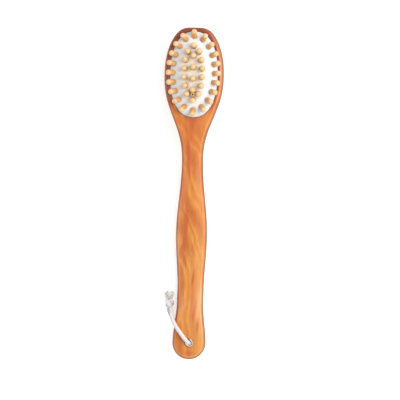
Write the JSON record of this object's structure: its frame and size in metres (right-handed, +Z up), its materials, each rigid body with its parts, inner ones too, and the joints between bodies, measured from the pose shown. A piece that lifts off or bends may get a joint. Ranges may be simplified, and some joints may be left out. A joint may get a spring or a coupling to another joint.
{
  "type": "body dry brush",
  "caption": "Long-handled wooden body brush: natural bristles on one face, turned wooden massage pins on a domed rubber cushion on the other, and a cotton hanging loop.",
  "frame": {"origin": "on the surface the brush lies on, under the centre of its box (measured without the hanging loop)", "axes": "+Y from the butt of the handle to the crown of the head, +Z up through the massage pins, +X across the head"},
  "size_m": [0.075, 0.42, 0.0574],
  "materials": {
    "lacquered_wood": "clear gloss lacquer over warm reddish-brown, straight-grained wood",
    "pale_wood": "fine-sanded, unlacquered pale wood",
    "white_rubber": "smooth matt white rubber",
    "natural_bristle": "coarse natural bristle, golden tan",
    "cotton_cord": "twisted natural cotton cord, undyed"
  },
  "bodies": {
    "brush": {"brush_body": "lacquered_wood", "rubber_cushion": "white_rubber", "bristle_row_01": "natural_bristle", "bristle_row_02": "natural_bristle", "bristle_row_03": "natural_bristle", "bristle_row_04": "natural_bristle", "bristle_row_05": "natural_bristle", "bristle_row_06": "natural_bristle", "bristle_row_07": "natural_bristle", "bristle_row_08": "natural_bristle", "bristle_row_09": "natural_bristle", "bristle_row_10": "natural_bristle", "bristle_row_11": "natural_bristle"},
    "centre_pins": {"centre_pin_01": "pale_wood", "centre_pin_02": "pale_wood", "centre_pin_03": "pale_wood", "centre_pin_04": "pale_wood"},
    "inner_pins": {"inner_pin_01": "pale_wood", "inner_pin_02": "pale_wood", "inner_pin_03": "pale_wood", "inner_pin_04": "pale_wood", "inner_pin_05": "pale_wood", "inner_pin_06": "pale_wood", "inner_pin_07": "pale_wood", "inner_pin_08": "pale_wood", "inner_pin_09": "pale_wood", "inner_pin_10": "pale_wood", "inner_pin_11": "pale_wood", "inner_pin_12": "pale_wood", "inner_pin_13": "pale_wood", "inner_pin_14": "pale_wood"},
    "outer_pins": {"outer_pin_01": "pale_wood", "outer_pin_02": "pale_wood", "outer_pin_03": "pale_wood", "outer_pin_04": "pale_wood", "outer_pin_05": "pale_wood", "outer_pin_06": "pale_wood", "outer_pin_07": "pale_wood", "outer_pin_08": "pale_wood", "outer_pin_09": "pale_wood", "outer_pin_10": "pale_wood", "outer_pin_11": "pale_wood", "outer_pin_12": "pale_wood", "outer_pin_13": "pale_wood", "outer_pin_14": "pale_wood", "outer_pin_15": "pale_wood", "outer_pin_16": "pale_wood", "outer_pin_17": "pale_wood", "outer_pin_18": "pale_wood", "outer_pin_19": "pale_wood", "outer_pin_20": "pale_wood"},
    "hanging_loop": {"hanging_cord": "cotton_cord", "cord_knot": "cotton_cord", "cord_tail_1": "cotton_cord", "cord_tail_2": "cotton_cord"}
  },
  "joints": [
    {"name": "cushion_press", "type": "slide", "parent": "brush", "child": "centre_pins", "axis": [0, 0, -1], "range_m": [0, 0.005], "stiffness_N_per_m": 1500, "deforming": ["rubber_cushion"]},
    {"name": "inner_ring_press", "type": "slide", "parent": "brush", "child": "inner_pins", "axis": [0, 0, -1], "range_m": [0, 0.005]},
    {"name": "outer_ring_press", "type": "slide", "parent": "brush", "child": "outer_pins", "axis": [0, 0, -1], "range_m": [0, 0.0025]},
    {"name": "loop_swing", "type": "hinge", "parent": "brush", "child": "hanging_loop", "pos_m": [0, -0.189, 0.015], "axis": [0, 0, 1], "range_deg": [0, 270]}
  ],
  "couplings": [
    {"joint": "inner_ring_press", "follows": "cushion_press", "ratio": 0.95},
    {"joint": "outer_ring_press", "follows": "cushion_press", "ratio": 0.39}
  ]
}
